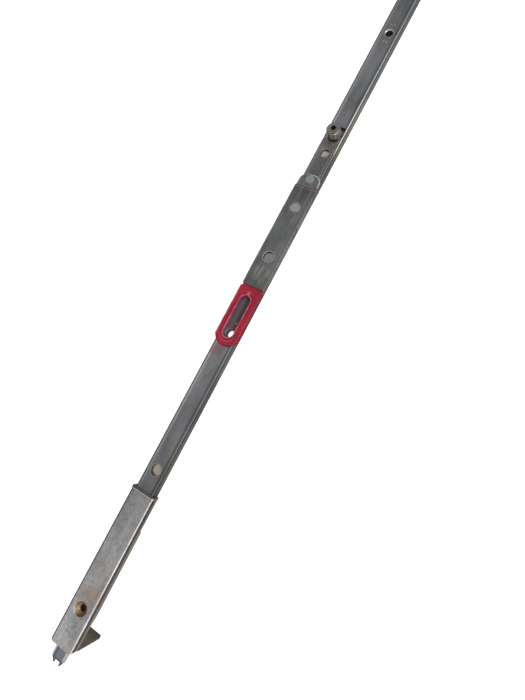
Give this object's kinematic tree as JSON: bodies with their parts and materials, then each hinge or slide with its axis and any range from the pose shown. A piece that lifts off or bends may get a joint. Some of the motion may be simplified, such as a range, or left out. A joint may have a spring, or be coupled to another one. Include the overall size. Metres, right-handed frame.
{
  "type": "window espagnolette gearbox",
  "caption": "Window espagnolette: channel faceplate with a spindle gear case, a sliding rod with forked end, a roller cam carriage and a red slotted slide.",
  "frame": {"origin": "the spindle's axis, midway between the two handle screws, on the centre plane", "axes": "+X runs up the bar along the rod, +Z comes out of the faceplate's front, +Y is across the bar"},
  "size_m": [0.8103, 0.0216, 0.0442],
  "materials": {
    "rail_zinc": "worn zinc plate, satin",
    "housing_zinc": "worn zinc plate, satin",
    "foot_steel": "dull plated steel",
    "guide_nylon": "matte black nylon",
    "bush_steel": "turned steel",
    "case_zinc": "die cast zinc, matte",
    "rod_zinc": "clean zinc plate",
    "fork_zinc": "bright zinc plate",
    "carriage_zinc": "worn zinc plate",
    "cover_zinc": "brushed zinc plate, worn",
    "rivet_steel": "blue grey rivet",
    "slide_red": "satin red plastic",
    "gear_steel": "hardened steel",
    "cam_steel": "polished steel",
    "washer_steel": "dark steel"
  },
  "bodies": {
    "frame": {"guide_rail": "rail_zinc", "end_housing": "housing_zinc", "foot_plate": "foot_steel", "rod_guides": "guide_nylon", "screw_bush_lower": "bush_steel", "screw_bush_middle": "bush_steel", "screw_bushes_upper": "bush_steel", "gear_case_left": "case_zinc", "gear_case_right": "case_zinc", "screw_sleeves": "bush_steel", "case_rivets": "rivet_steel", "case_mount_rivets": "rivet_steel"},
    "sliding_rod": {"drive_rod": "rod_zinc", "fork_end": "fork_zinc", "fork_rivet": "rivet_steel", "carriage_plate": "carriage_zinc", "carriage_spacer": "rod_zinc", "cover_plate": "cover_zinc", "tongue_rivet": "rivet_steel", "cover_rivet": "rivet_steel", "slot_guide": "slide_red", "rack": "gear_steel", "rack_rivets": "rivet_steel", "cam_washer": "washer_steel"},
    "spindle": {"spindle_gear": "gear_steel"},
    "cam": {"cam_stud": "cam_steel"},
    "roller": {"cam_roller": "cam_steel"}
  },
  "joints": [
    {"name": "rod_slide", "type": "slide", "parent": "frame", "child": "sliding_rod", "axis": [-1, 0, 0], "range_m": [0, 0.02748]},
    {"name": "spindle_turn", "type": "hinge", "parent": "frame", "child": "spindle", "pos_m": [0, 0, 0], "axis": [0, -1, 0], "range_deg": [0, 180]},
    {"name": "cam_adjust", "type": "hinge", "parent": "sliding_rod", "child": "cam", "pos_m": [-0.2268, 0, 0.017], "axis": [0, 0, 1], "range_deg": [-90, 90]},
    {"name": "roller_spin", "type": "hinge", "parent": "cam", "child": "roller", "pos_m": [-0.226, 0, 0.0217], "axis": [0, 0, 1], "continuous": true}
  ],
  "couplings": [
    {"joint": "spindle_turn", "follows": "rod_slide", "rad_per_m": 114.29}
  ]
}
